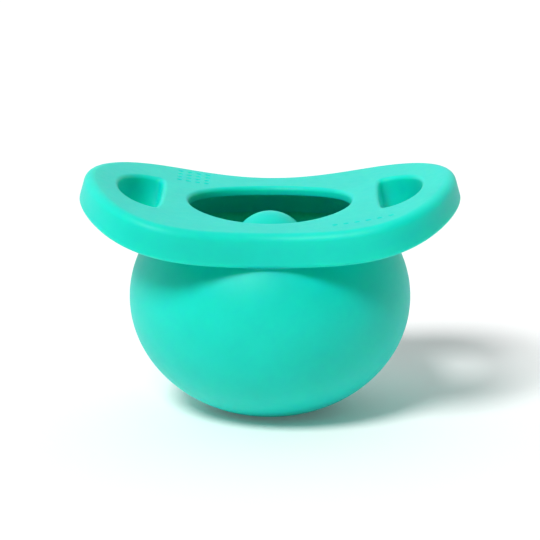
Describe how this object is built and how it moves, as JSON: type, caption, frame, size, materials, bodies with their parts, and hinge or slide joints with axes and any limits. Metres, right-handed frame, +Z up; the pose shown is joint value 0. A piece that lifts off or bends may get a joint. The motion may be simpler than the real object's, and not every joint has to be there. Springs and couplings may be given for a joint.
{
  "type": "pacifier",
  "caption": "One-piece soft baby pacifier: bent mouth shield with vent slots on a hollow round bulb, and a nipple that pops out through the shield.",
  "frame": {"origin": "centre of the flat foot under the bulb, at the middle of the footprint", "axes": "+Z up along the nipple, out of the face side of the shield; +X along the shield's long side; +Y across it"},
  "size_m": [0.0596, 0.0444, 0.0379],
  "materials": {
    "silicone_shield": "satin moulded silicone, teal green",
    "silicone_bulb": "satin moulded silicone, teal green",
    "silicone_nipple": "smooth moulded silicone, teal green"
  },
  "bodies": {
    "shell": {"shield": "silicone_shield", "bulb_collar": "silicone_bulb", "bulb_shoulder": "silicone_bulb", "rolling_wall": "silicone_bulb"},
    "nipple": {"push_pad": "silicone_bulb", "nipple_root": "silicone_nipple", "nipple_neck": "silicone_nipple", "nipple_tip": "silicone_nipple"}
  },
  "joints": [
    {"name": "nipple_pop", "type": "slide", "parent": "shell", "child": "nipple", "axis": [0, 0, 1], "range_m": [0, 0.026], "deforming": ["rolling_wall"]}
  ]
}
